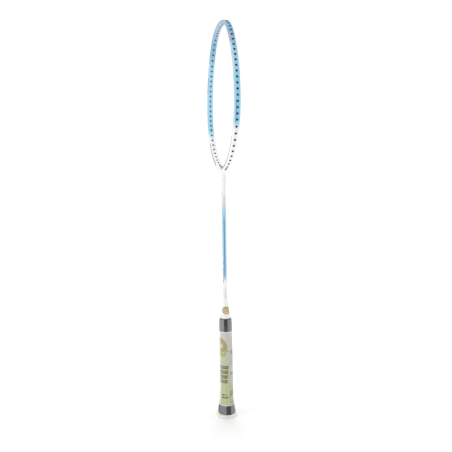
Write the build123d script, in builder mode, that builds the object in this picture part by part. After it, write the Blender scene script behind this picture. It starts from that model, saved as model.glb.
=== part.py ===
"""An unstrung badminton racket.

The head is a hollow carbon hoop with plastic grommets for the strings, joined to a tubular shaft by
a T-joint inside a short throat. The handle is a wooden octagon on the shaft's lower end, with a cone
above it, a flared butt cap below it, a wrapped grip round it and a printed film sleeve over the grip.

Millimetres. The origin is the centre of the butt's flat end. +Z runs up the shaft to the head, X lies
in the plane of the head and Y is square to it.
"""

import os
from math import cos, pi, radians, sin, tan

from build123d import *

os.makedirs("parts", exist_ok=True)

# ---------------------------------------------------------------- driving dimensions
TOTAL_LENGTH = 672.8
SLIP = 0.05  # clearance between pieces that touch or slide together

# Hoop: the middle line of one half is five tangent arcs, from the top centre round to the throat.
# Each turn is the arc's end heading in degrees: 0 at the top centre, 90 at the widest point.
CROWN_RADIUS = 90.7
SIDE_RADIUS = 172.0
LOWER_RADIUS = 109.0
THROAT_RADIUS = 68.0
CROWN_TURN = 20.0
TOP_TURN = 51.8
SIDE_TURN = 90.0
LOWER_TURN = 165.7

# Hoop tube: RAIL_THICK in the plane of the head and RAIL_DEEP across it, with the string groove
# round its outer side.
RAIL_THICK = 6.6
RAIL_DEEP = 10.0
RAIL_CORNER = 2.6
RAIL_WALL = 1.1
HOLLOW_CORNER = 1.3
GROOVE_WIDE = 4.4
GROOVE_DEEP = 1.2

# Grommets: (count, spacing) along the middle line of each half, going down from the top centre.
FIRST_GROMMET = 3.3
GROMMET_STEPS = [(2, 6.15), (3, 7.6), (6, 10.4), (13, 9.15), (8, 10.9), (1, 11.0), (3, 6.8)]
TOP_STRIP = 9  # how many grommets of each half belong to the top strip
THROAT_STRIP = 6  # and to the throat strip
GROMMET_BORE_RADIUS = 0.95
BARREL_RADIUS = 1.5
BARREL_PROUD = 0.8  # how far the barrel stands out of the hoop's inner side
GROMMET_CHAMFER = 0.2
FLANGE_RADIUS = 1.95
FLANGE_THICK = 0.5

# Throat and shaft
THROAT_HALF_WIDTH = 6.2
THROAT_DEEP = 7.8
THROAT_LIP = 0.6  # how far its lower end stands out from the shaft
THROAT_SWELL = 0.9  # and how far it stands out sideways half way up
THROAT_BOTTOM = 403.0
SHAFT_RADIUS = 3.5
SHAFT_BORE_RADIUS = 2.3
SHAFT_BOTTOM = 70.0
SHAFT_SEAT = 9.0  # how far the shaft goes up into the throat
STEM_LENGTH = 34.0  # T-joint's stem, down from the hoop's middle line
CROSSBAR_TURN = 15.0  # half of the turn that the T-joint's crossbar follows inside the hoop

# Handle core: an octagon with 45 degree slants, wider along X than along Y
CORE_HALF_X = 10.5
CORE_HALF_Y = 8.7
CORE_FLAT_X = 3.8  # half the width of the flats that face X
CORE_EASE = 0.6
CORE_BOTTOM = 3.2
CORE_TOP = 156.0
PILOT_RADIUS = 3.0
SPIGOT_RADIUS = 7.2
SPIGOT_LENGTH = 12.0
SPIGOT_CHAMFER = 1.0

# Above the core the handle's section turns from the octagon to a circle, inside the cone's skirt.
ROUND_FROM = 158.0
ROUND_TO = 172.0
ROUND_RADIUS = 8.8
ROUND_CORNER = 0.94  # corner radius at the round end, as a share of ROUND_RADIUS
SLANT_SHARE = tan(radians(22.5))  # half of a regular octagon's side, over its half width

# Cone cap: the outer radius where it leaves the grip, half way up and at the shaft
CONE_LIP_RADIUS = 9.05
CONE_MID_HEIGHT = 185.6
CONE_MID_RADIUS = 7.0
CONE_TOP_HEIGHT = 206.5
CONE_TOP_RADIUS = 3.9

# Butt: how far each outline stands out from the core's octagon
RIM_OFFSET = 8.5
RIM_CORNER = 5.0
RIM_HEIGHT = 4.2
RIM_EDGE = 1.2
LEDGE_OFFSET = 5.5
LEDGE_HEIGHT = 5.2
FLARE_OFFSET = 4.0
FLARE_FROM = 4.0
FLARE_TO = 36.0
FLARE_STEPS = 8
SKIRT_TOP = 28.0
BADGE_RADIUS = 9.0
BADGE_THICK = 0.8
BADGE_CHAMFER = 0.2
BADGE_RECESS = 1.2

# Staples that hold the butt cap to the core, one on each broad side
STAPLE_HEIGHT = 17.0
STAPLE_CROWN = 8.0
STAPLE_WIRE = 0.7
STAPLE_LEG = 5.0

# Grip, its finishing tape, the printed film sleeve and the sleeve's seam
GRIP_THICK = 1.5
GRIP_EDGE_FROM = 169.5  # above this the grip thins by GRIP_EDGE
GRIP_EDGE = 0.8
TAPE_THICK = 0.2
TAPE_BOTTOM = 161.0
FILM_THICK = 0.25
FILM_BOTTOM = 20.5
FILM_TOP = 150.0
SEAM_WIDE = 6.0
TACK_HEAD_RADIUS = 2.2
TACK_HEAD_THICK = 0.5
TACK_SHANK_RADIUS = 0.6
TACK_LENGTH = 7.0
TACK_HEIGHT = 11.0

# Badges on the cone's two sides
CONE_BADGE_HEIGHT = 186.2
CONE_BADGE_WIDE = 13.0
CONE_BADGE_TALL = 12.6
CONE_BADGE_THICK = 0.35


def write(part, label):
    part.label = label
    export_step(part, f"parts/{label}.step")


# ---------------------------------------------------------------- the hoop's middle line
# The second arc's radius is the one that brings the half outline back to the centre line.
TOP_RADIUS = (
    SIDE_RADIUS * sin(radians(TOP_TURN))
    - CROWN_RADIUS * sin(radians(CROWN_TURN))
    - (SIDE_RADIUS - LOWER_RADIUS) * sin(radians(SIDE_TURN))
    - (LOWER_RADIUS - THROAT_RADIUS) * sin(radians(LOWER_TURN))
) / (sin(radians(TOP_TURN)) - sin(radians(CROWN_TURN)))
HOOP_RADII = [CROWN_RADIUS, TOP_RADIUS, SIDE_RADIUS, LOWER_RADIUS, THROAT_RADIUS]
HOOP_TURNS = [0.0, CROWN_TURN, TOP_TURN, SIDE_TURN, LOWER_TURN, 180.0]
HOOP_TOP = TOTAL_LENGTH - RAIL_THICK / 2


def hoop_arcs():
    """(centre x, centre z, radius, start turn, end turn) of each arc of the +X half."""
    arcs = []
    centre_x, centre_z = 0.0, HOOP_TOP - CROWN_RADIUS
    for i, radius in enumerate(HOOP_RADII):
        if i:
            change = HOOP_RADII[i - 1] - radius
            centre_x += change * sin(radians(HOOP_TURNS[i]))
            centre_z += change * cos(radians(HOOP_TURNS[i]))
        arcs.append((centre_x, centre_z, radius, HOOP_TURNS[i], HOOP_TURNS[i + 1]))
    return arcs


HOOP_ARCS = hoop_arcs()
THROAT_ARC = HOOP_ARCS[-1]
THROAT_CENTRE_Z = THROAT_ARC[1]
HOOP_BOTTOM = THROAT_CENTRE_Z - THROAT_RADIUS


def rail_plane(arc, turn):
    """The plane across the rail at a turn of an arc. Its X points out of the hoop."""
    centre_x, centre_z, radius = arc[:3]
    out = Vector(sin(radians(turn)), 0, cos(radians(turn)))
    along = Vector(cos(radians(turn)), 0, -sin(radians(turn)))
    return Plane(origin=Vector(centre_x, 0, centre_z) + out * radius, x_dir=out, z_dir=along)


def grommet_plane(distance, side):
    """A grommet's plane, with its Z out of the hoop. side is 1 on the +X half and -1 on the other."""
    for centre_x, centre_z, radius, start, end in HOOP_ARCS:
        length = radius * radians(end - start)
        if distance <= length:
            break
        distance -= length
    turn = radians(start) + distance / radius
    out = Vector(side * sin(turn), 0, cos(turn))
    origin = Vector(side * centre_x, 0, centre_z) + out * radius
    return Plane(origin=origin, x_dir=Vector(0, 1, 0), z_dir=out)


def grommet_distances():
    """Each grommet's distance from the top centre along the middle line."""
    distances = [FIRST_GROMMET]
    for count, step in GROMMET_STEPS:
        for _ in range(count):
            distances.append(distances[-1] + step)
    return distances


RIGHT_GROMMETS = [grommet_plane(distance, 1) for distance in grommet_distances()]
LEFT_GROMMETS = [grommet_plane(distance, -1) for distance in grommet_distances()]
ALL_GROMMETS = RIGHT_GROMMETS + LEFT_GROMMETS

# The rail's hollow lies inside the groove's floor.
HOLLOW_THICK = RAIL_THICK - GROOVE_DEEP - 2 * RAIL_WALL
HOLLOW_DEEP = RAIL_DEEP - 2 * RAIL_WALL
HOLLOW_MIDDLE = -GROOVE_DEEP / 2
GROOVE_FLOOR = RAIL_THICK / 2 - GROOVE_DEEP

# ---------------------------------------------------------------- head
with BuildPart() as head_frame:
    for arc in HOOP_ARCS:
        with BuildSketch(rail_plane(arc, arc[3])):
            RectangleRounded(RAIL_THICK, RAIL_DEEP, RAIL_CORNER)
            with Locations((RAIL_THICK / 2, 0)):
                Rectangle(2 * GROOVE_DEEP, GROOVE_WIDE, mode=Mode.SUBTRACT)
            with Locations((HOLLOW_MIDDLE, 0)):
                RectangleRounded(HOLLOW_THICK, HOLLOW_DEEP, HOLLOW_CORNER, mode=Mode.SUBTRACT)
        revolve(axis=Axis((arc[0], 0, arc[1]), (0, 1, 0)), revolution_arc=arc[4] - arc[3])
    mirror(about=Plane.YZ)
    with Locations([plane.location for plane in ALL_GROMMETS]):
        Cylinder(BARREL_RADIUS + SLIP, 2 * RAIL_THICK, mode=Mode.SUBTRACT)
    # The T-joint's stem leaves through the outer wall at the throat.
    with Locations((0, 0, HOOP_BOTTOM)):
        Cylinder(
            SHAFT_BORE_RADIUS + SLIP,
            RAIL_THICK,
            align=(Align.CENTER, Align.CENTER, Align.MAX),
            mode=Mode.SUBTRACT,
        )
write(head_frame.part, "head_frame")

# One grommet about local Z: a flange on the groove's floor and a barrel through to the inner side.
GROMMET_SEAT = GROOVE_FLOOR + SLIP
GROMMET_END = -RAIL_THICK / 2 - BARREL_PROUD
with BuildPart() as grommet:
    with BuildSketch(Plane.XY.offset(GROMMET_SEAT)):
        Circle(FLANGE_RADIUS)
    extrude(amount=FLANGE_THICK)
    chamfer(grommet.edges().group_by(Axis.Z)[-1], GROMMET_CHAMFER)
    with BuildSketch(Plane.XY.offset(GROMMET_END)):
        Circle(BARREL_RADIUS)
    extrude(amount=GROMMET_SEAT - GROMMET_END)
    chamfer(grommet.edges().group_by(Axis.Z)[0], GROMMET_CHAMFER)
    Cylinder(GROMMET_BORE_RADIUS, 4 * RAIL_THICK, mode=Mode.SUBTRACT)

GROMMET_STRIPS = {
    "grommets_top": RIGHT_GROMMETS[:TOP_STRIP] + LEFT_GROMMETS[:TOP_STRIP],
    "grommets_right": RIGHT_GROMMETS[TOP_STRIP:-THROAT_STRIP],
    "grommets_left": LEFT_GROMMETS[TOP_STRIP:-THROAT_STRIP],
    "grommets_throat": RIGHT_GROMMETS[-THROAT_STRIP:] + LEFT_GROMMETS[-THROAT_STRIP:],
}
for strip_name, planes in GROMMET_STRIPS.items():
    with BuildPart() as strip:
        with Locations([plane.location for plane in planes]):
            add(grommet.part)
    write(strip.part, strip_name)

# ---------------------------------------------------------------- throat and shaft
THROAT_AXIS = Axis((0, 0, THROAT_CENTRE_Z), (0, 1, 0))
with BuildPart() as t_joint:
    with BuildSketch(rail_plane(THROAT_ARC, 180 - CROSSBAR_TURN)):
        with Locations((HOLLOW_MIDDLE, 0)):
            RectangleRounded(HOLLOW_THICK - 2 * SLIP, HOLLOW_DEEP - 2 * SLIP, HOLLOW_CORNER - SLIP)
    revolve(axis=THROAT_AXIS, revolution_arc=2 * CROSSBAR_TURN)
    with Locations((0, 0, HOOP_BOTTOM)):
        Cylinder(SHAFT_BORE_RADIUS - SLIP, STEM_LENGTH, align=(Align.CENTER, Align.CENTER, Align.MAX))
    with Locations([plane.location for plane in ALL_GROMMETS]):
        Cylinder(BARREL_RADIUS + SLIP, 2 * RAIL_THICK, mode=Mode.SUBTRACT)
write(t_joint.part, "t_joint")

# The fairing swells from the shaft to the hoop and is cut to the hoop's outer side.
with BuildPart() as throat_clearance:
    with BuildSketch(rail_plane(THROAT_ARC, 180 - CROSSBAR_TURN)):
        RectangleRounded(RAIL_THICK + 2 * SLIP, RAIL_DEEP + 2 * SLIP, RAIL_CORNER)
    revolve(axis=THROAT_AXIS, revolution_arc=2 * CROSSBAR_TURN)

with BuildPart() as throat_fairing:
    with BuildSketch(Plane.XY.offset(THROAT_BOTTOM)):
        Circle(SHAFT_RADIUS + THROAT_LIP)
    with BuildSketch(Plane.XY.offset((THROAT_BOTTOM + HOOP_BOTTOM) / 2)):
        Ellipse(SHAFT_RADIUS + THROAT_SWELL, SHAFT_RADIUS + THROAT_LIP)
    with BuildSketch(Plane.XY.offset(HOOP_BOTTOM)):
        Ellipse(THROAT_HALF_WIDTH, THROAT_DEEP / 2)
    loft()
    add(throat_clearance.part, mode=Mode.SUBTRACT)
    with Locations((0, 0, THROAT_BOTTOM)):
        Cylinder(SHAFT_RADIUS + SLIP, 2 * SHAFT_SEAT + 2 * SLIP, mode=Mode.SUBTRACT)
    with Locations((0, 0, HOOP_BOTTOM)):
        Hole(SHAFT_BORE_RADIUS)
write(throat_fairing.part, "throat_fairing")

SHAFT_TOP = THROAT_BOTTOM + SHAFT_SEAT
with BuildPart() as shaft:
    with BuildSketch(Plane.XY.offset(SHAFT_BOTTOM)):
        Circle(SHAFT_RADIUS)
        Circle(SHAFT_BORE_RADIUS, mode=Mode.SUBTRACT)
    extrude(amount=SHAFT_TOP - SHAFT_BOTTOM)
write(shaft.part, "shaft")


# ---------------------------------------------------------------- the handle's sections
def octagon(half_x, half_y, flat_x, corner):
    """An octagon with 45 degree slants and rounded corners, in the current sketch."""
    slant = half_y - flat_x
    quarter = [(half_x, flat_x), (half_x - slant, half_y)]
    left = [(-x, y) for x, y in reversed(quarter)]
    lower = [(-x, -y) for x, y in quarter + left]
    Polygon(*quarter, *left, *lower, align=None)
    fillet(vertices(), corner)


def core_octagon(grow, corner=None):
    """The core's octagon, grown evenly by an offset."""
    flat_x = CORE_FLAT_X + grow * SLANT_SHARE
    octagon(CORE_HALF_X + grow, CORE_HALF_Y + grow, flat_x, corner or CORE_EASE + grow)


def flare(height):
    """How far the flare above the butt stands out from the core's octagon."""
    share = min(max((height - FLARE_FROM) / (FLARE_TO - FLARE_FROM), 0.0), 1.0)
    return FLARE_OFFSET * (1 + cos(pi * share)) / 2


def handle_section(height, grow):
    """The handle's outline at a height: flared below, octagonal, then turning round at the cone.

    The flare widens the slants, and the flats keep their width.
    """
    share = max(0.0, (height - ROUND_FROM) / (ROUND_TO - ROUND_FROM))
    half_x = CORE_HALF_X + (ROUND_RADIUS - CORE_HALF_X) * share + flare(height) + grow
    half_y = CORE_HALF_Y + (ROUND_RADIUS - CORE_HALF_Y) * share + flare(height) + grow
    flat_x = CORE_FLAT_X + (ROUND_RADIUS * SLANT_SHARE - CORE_FLAT_X) * share + grow * SLANT_SHARE
    corner = CORE_EASE + (ROUND_RADIUS * ROUND_CORNER - CORE_EASE) * share + grow
    octagon(half_x, half_y, flat_x, corner)


def handle_loft(grow, bottom, top, end_grow=None, mode=Mode.ADD):
    """A solid of the handle's outline between two heights, grown by an offset, in the current part.

    With end_grow, the last stretch of the grip's top narrows to that offset.
    """
    step = (FLARE_TO - FLARE_FROM) / FLARE_STEPS
    stations = [FLARE_FROM + step * i for i in range(FLARE_STEPS + 1)] + [ROUND_FROM, GRIP_EDGE_FROM]
    sections = []
    for height in [bottom] + [height for height in stations if bottom < height < top] + [top]:
        with BuildSketch(Plane.XY.offset(height)) as section:
            handle_section(height, end_grow if end_grow is not None and height == top else grow)
        sections.append(section.sketch)
    loft(sections, ruled=True, mode=mode)


# ---------------------------------------------------------------- handle core and its staples
with BuildPart() as staples:
    for way in (1, -1):
        crown_y = way * (CORE_HALF_Y + flare(STAPLE_HEIGHT) - STAPLE_WIRE)
        leg_y = crown_y - way * STAPLE_LEG / 2
        leg_x = (STAPLE_CROWN - STAPLE_WIRE) / 2
        with Locations((0, crown_y, STAPLE_HEIGHT)):
            Box(STAPLE_CROWN, STAPLE_WIRE, STAPLE_WIRE)
        with Locations((leg_x, leg_y, STAPLE_HEIGHT), (-leg_x, leg_y, STAPLE_HEIGHT)):
            Box(STAPLE_WIRE, STAPLE_LEG, STAPLE_WIRE)
write(staples.part, "butt_cap_staples")

# The tack pins the grip's starting end to the butt cap, on the -X side.
TACK_X = -(CORE_HALF_X + flare(TACK_HEIGHT))
with BuildPart() as grip_tack:
    with BuildSketch(Plane(origin=(TACK_X, 0, TACK_HEIGHT), x_dir=(0, 1, 0), z_dir=(-1, 0, 0))):
        Circle(TACK_HEAD_RADIUS)
    extrude(amount=TACK_HEAD_THICK)
    with BuildSketch(Plane(origin=(TACK_X, 0, TACK_HEIGHT), x_dir=(0, 1, 0), z_dir=(1, 0, 0))):
        Circle(TACK_SHANK_RADIUS)
    extrude(amount=TACK_LENGTH)
write(grip_tack.part, "grip_tack")

with BuildPart() as handle_core:
    with BuildSketch(Plane.XY.offset(CORE_BOTTOM)):
        core_octagon(0.0)
    extrude(amount=CORE_TOP - CORE_BOTTOM)
    with BuildSketch(Plane.XY.offset(CORE_TOP)):
        Circle(SPIGOT_RADIUS)
    extrude(amount=SPIGOT_LENGTH)
    chamfer(handle_core.edges().group_by(Axis.Z)[-1], SPIGOT_CHAMFER)
    with BuildSketch(Plane.XY.offset(SHAFT_BOTTOM - SLIP)):
        Circle(SHAFT_RADIUS + SLIP)
    extrude(amount=CORE_TOP, mode=Mode.SUBTRACT)
    with BuildSketch():
        Circle(PILOT_RADIUS)
    extrude(amount=SHAFT_BOTTOM, mode=Mode.SUBTRACT)
    add(staples.part, mode=Mode.SUBTRACT)
    add(grip_tack.part, mode=Mode.SUBTRACT)
write(handle_core.part, "handle_core")

# ---------------------------------------------------------------- cone
CONE_PROFILE = [
    (CONE_LIP_RADIUS, ROUND_TO),
    (CONE_MID_RADIUS, CONE_MID_HEIGHT),
    (CONE_TOP_RADIUS, CONE_TOP_HEIGHT),
]
CONE_SLOPES = [(-0.08, 1), (-0.07, 1)]


def cone_slope(stand_off):
    """The cone's outer line in the current sketch's line builder, standing off the cone."""
    return Spline([(radius + stand_off, height) for radius, height in CONE_PROFILE], tangents=CONE_SLOPES)


with BuildPart() as cone_cap:
    handle_loft(0.0, CORE_TOP + SLIP, ROUND_TO)
    with BuildSketch(Plane.XZ):
        with BuildLine():
            slope = cone_slope(0.0)
            Polyline(slope @ 1, (0, CONE_TOP_HEIGHT), (0, ROUND_TO), slope @ 0)
        make_face()
    revolve(axis=Axis.Z)
    with Locations((0, 0, CORE_TOP)):
        Cylinder(
            SPIGOT_RADIUS + SLIP,
            SPIGOT_LENGTH + SLIP,
            align=(Align.CENTER, Align.CENTER, Align.MIN),
            mode=Mode.SUBTRACT,
        )
        Cylinder(SHAFT_RADIUS + SLIP, CORE_TOP, mode=Mode.SUBTRACT)
write(cone_cap.part, "cone_cap")

for side_name, way in (("right", 1), ("left", -1)):
    with BuildPart() as cone_badge:
        with BuildSketch(Plane.XZ):
            with BuildLine():
                back = cone_slope(SLIP)
                front = cone_slope(SLIP + CONE_BADGE_THICK)
                Line(back @ 0, front @ 0)
                Line(back @ 1, front @ 1)
            make_face()
        revolve(axis=Axis.Z)
        with BuildSketch(Plane.YZ):
            with Locations((0, CONE_BADGE_HEIGHT)):
                Ellipse(CONE_BADGE_WIDE / 2, CONE_BADGE_TALL / 2)
        extrude(amount=way * 2 * CONE_LIP_RADIUS, mode=Mode.INTERSECT)
    write(cone_badge.part, f"cone_badge_{side_name}")

# ---------------------------------------------------------------- butt cap and its badge
with BuildPart() as butt_cap:
    with BuildSketch():
        core_octagon(RIM_OFFSET, RIM_CORNER)
    extrude(amount=RIM_HEIGHT)
    fillet(butt_cap.faces().filter_by(Axis.Z).edges(), RIM_EDGE)
    with BuildSketch(Plane.XY.offset(RIM_HEIGHT)):
        core_octagon(RIM_OFFSET - RIM_EDGE, RIM_CORNER - RIM_EDGE)
    with BuildSketch(Plane.XY.offset(LEDGE_HEIGHT)):
        core_octagon(LEDGE_OFFSET)
    loft(ruled=True)
    handle_loft(0.0, LEDGE_HEIGHT, SKIRT_TOP)
    with BuildSketch(Plane.XY.offset(CORE_BOTTOM - SLIP)):
        core_octagon(SLIP)
    extrude(amount=SKIRT_TOP, mode=Mode.SUBTRACT)
    with BuildSketch():
        Circle(BADGE_RADIUS + SLIP)
    extrude(amount=BADGE_RECESS, mode=Mode.SUBTRACT)
    add(staples.part, mode=Mode.SUBTRACT)
    add(grip_tack.part, mode=Mode.SUBTRACT)
write(butt_cap.part, "butt_cap")

with BuildPart() as butt_badge:
    with BuildSketch(Plane.XY.offset(BADGE_RECESS - BADGE_THICK - SLIP)):
        Circle(BADGE_RADIUS)
    extrude(amount=BADGE_THICK)
    chamfer(butt_badge.edges().group_by(Axis.Z)[0], BADGE_CHAMFER)
write(butt_badge.part, "butt_badge")

# ---------------------------------------------------------------- grip, tape and film
GRIP_INNER = SLIP
GRIP_OUTER = GRIP_INNER + GRIP_THICK
GRIP_TOP = ROUND_TO - SLIP
with BuildPart() as base_grip:
    handle_loft(GRIP_OUTER, LEDGE_HEIGHT + SLIP, GRIP_TOP, end_grow=GRIP_OUTER - GRIP_EDGE)
    handle_loft(GRIP_INNER, LEDGE_HEIGHT + SLIP, GRIP_TOP, mode=Mode.SUBTRACT)
    add(grip_tack.part, mode=Mode.SUBTRACT)
write(base_grip.part, "base_grip")

TAPE_INNER = GRIP_OUTER + SLIP
TAPE_OUTER = TAPE_INNER + TAPE_THICK
with BuildPart() as finishing_tape:
    handle_loft(TAPE_OUTER, TAPE_BOTTOM, GRIP_TOP, end_grow=TAPE_OUTER - GRIP_EDGE)
    handle_loft(TAPE_INNER, TAPE_BOTTOM, GRIP_TOP, end_grow=TAPE_INNER - GRIP_EDGE, mode=Mode.SUBTRACT)
write(finishing_tape.part, "finishing_tape")

FILM_INNER = GRIP_OUTER + SLIP
FILM_OUTER = FILM_INNER + FILM_THICK
with BuildPart() as film_sleeve:
    handle_loft(FILM_OUTER, FILM_BOTTOM, FILM_TOP)
    handle_loft(FILM_INNER, FILM_BOTTOM, FILM_TOP, mode=Mode.SUBTRACT)
write(film_sleeve.part, "film_sleeve")

# The film's edges overlap down the middle of the handle's -X side.
SEAM_INNER = FILM_OUTER + SLIP
with BuildPart() as film_seam:
    handle_loft(SEAM_INNER + FILM_THICK, FILM_BOTTOM, FILM_TOP)
    handle_loft(SEAM_INNER, FILM_BOTTOM, FILM_TOP, mode=Mode.SUBTRACT)
    with BuildSketch():
        Rectangle(2 * CORE_HALF_X, SEAM_WIDE, align=(Align.MAX, Align.CENTER))
    extrude(amount=TOTAL_LENGTH, mode=Mode.INTERSECT)
write(film_seam.part, "film_seam")
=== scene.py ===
"""The looks of an unstrung badminton racket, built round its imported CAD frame. Metres throughout."""
from functools import partialmethod
from math import atan2, cos, pi, radians, sin, sqrt, tan

import bmesh
import bpy
from mathutils import Matrix, Vector, noise


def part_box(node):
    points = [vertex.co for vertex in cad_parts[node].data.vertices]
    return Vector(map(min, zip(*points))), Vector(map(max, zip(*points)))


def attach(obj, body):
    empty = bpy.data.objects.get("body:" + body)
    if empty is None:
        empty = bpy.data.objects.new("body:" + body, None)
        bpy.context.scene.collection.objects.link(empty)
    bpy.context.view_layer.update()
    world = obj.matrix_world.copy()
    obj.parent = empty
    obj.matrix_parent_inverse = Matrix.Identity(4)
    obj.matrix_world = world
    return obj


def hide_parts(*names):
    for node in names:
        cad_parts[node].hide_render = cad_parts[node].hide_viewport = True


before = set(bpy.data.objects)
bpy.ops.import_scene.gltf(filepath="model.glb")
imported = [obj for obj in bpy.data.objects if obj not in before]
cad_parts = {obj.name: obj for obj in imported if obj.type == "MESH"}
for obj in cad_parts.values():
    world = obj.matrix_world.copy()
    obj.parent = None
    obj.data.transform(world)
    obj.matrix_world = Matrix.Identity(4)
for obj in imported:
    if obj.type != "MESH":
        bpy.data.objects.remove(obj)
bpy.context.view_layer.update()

MM = 0.001

# ---- sizes, as in the CAD model but for the flanges and the top strip's barrels
_, HALF_DEEP, HOOP_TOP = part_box("head_frame")[1]
RAIL_THICK = 6.6 * MM
RAIL_CORNER = 2.6 * MM
GROOVE_HALF = 2.2 * MM
GROOVE_DEEP = 1.2 * MM
CROWN_RADIUS = 90.7 * MM
SIDE_RADIUS = 172.0 * MM
LOWER_RADIUS = 109.0 * MM
THROAT_RADIUS = 68.0 * MM
CROWN_TURN, TOP_TURN = radians(20.0), radians(51.8)
SIDE_TURN, LOWER_TURN = radians(90.0), radians(165.7)

FIRST_GROMMET = 3.3 * MM
GROMMET_STEPS = [(2, 6.15), (3, 7.6), (6, 10.4), (13, 9.15), (8, 10.9), (1, 11.0), (3, 6.8)]
TOP_STRIP, THROAT_STRIP = 9, 6
BORE_RADIUS = 0.95 * MM
BARREL_RADIUS = 1.5 * MM
BARREL_PROUD = 0.8 * MM
TOP_BARREL_PROUD = 0.15 * MM
FLANGE_RADIUS = 1.75 * MM
FLANGE_THICK = 0.5 * MM

SHAFT_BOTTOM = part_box("shaft")[0].z
SHAFT_RADIUS, _, SHAFT_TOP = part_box("shaft")[1]
SHAFT_BORE = 2.3 * MM

CORE_HALF_X, CORE_HALF_Y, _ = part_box("handle_core")[1]
CORE_FLAT_X = 3.8 * MM
CORE_EASE = 0.6 * MM
ROUND_FROM, ROUND_TO = 158.0 * MM, 172.0 * MM
ROUND_RADIUS = 8.8 * MM
ROUND_CORNER = 0.94
SLANT_SHARE = tan(radians(22.5))
FLARE_OFFSET = 4.0 * MM
FLARE_FROM, FLARE_TO = 4.0 * MM, 36.0 * MM

CONE_LIP_RADIUS = 9.05 * MM
CONE_MID_HEIGHT, CONE_MID_RADIUS = 185.6 * MM, 7.0 * MM
CONE_BOTTOM, CONE_TOP = (corner.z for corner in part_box("cone_cap"))
CONE_TOP_RADIUS = 3.9 * MM

RIM_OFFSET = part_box("butt_cap")[1].x - CORE_HALF_X
RIM_CORNER = 5.0 * MM
RIM_HEIGHT = 4.2 * MM
RIM_EDGE = 1.2 * MM
LEDGE_OFFSET = 5.5 * MM
LEDGE_HEIGHT = 5.2 * MM
SKIRT_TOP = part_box("butt_cap")[1].z
POCKET_BOTTOM = 3.15 * MM
RECESS_RADIUS = 9.05 * MM
RECESS_DEEP = 1.2 * MM

GRIP_BOTTOM, GRIP_TOP = (corner.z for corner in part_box("base_grip"))
GRIP_OUTER = 1.55 * MM
GRIP_EDGE = 0.8 * MM
TAPE_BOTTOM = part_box("finishing_tape")[0].z
TAPE_THICK = 0.2 * MM
FILM_BOTTOM, FILM_TOP = (corner.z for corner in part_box("film_sleeve"))
FILM_THICK = 0.25 * MM
SLIP = 0.05 * MM


# ---- materials
class Value:
    """A node's output, which can be reckoned with as a number can. | takes the larger of two."""

    def __init__(self, nodes, socket):
        self.nodes = nodes
        self.socket = socket

    def reckon(self, operation, other=0.0):
        return self.nodes.math(operation, self, other)

    def __rsub__(self, other):
        return self.nodes.math("SUBTRACT", other, self)

    __add__ = partialmethod(reckon, "ADD")
    __sub__ = partialmethod(reckon, "SUBTRACT")
    __mul__ = partialmethod(reckon, "MULTIPLY")
    __truediv__ = partialmethod(reckon, "DIVIDE")
    __or__ = partialmethod(reckon, "MAXIMUM")
    __abs__ = partialmethod(reckon, "ABSOLUTE")


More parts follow.
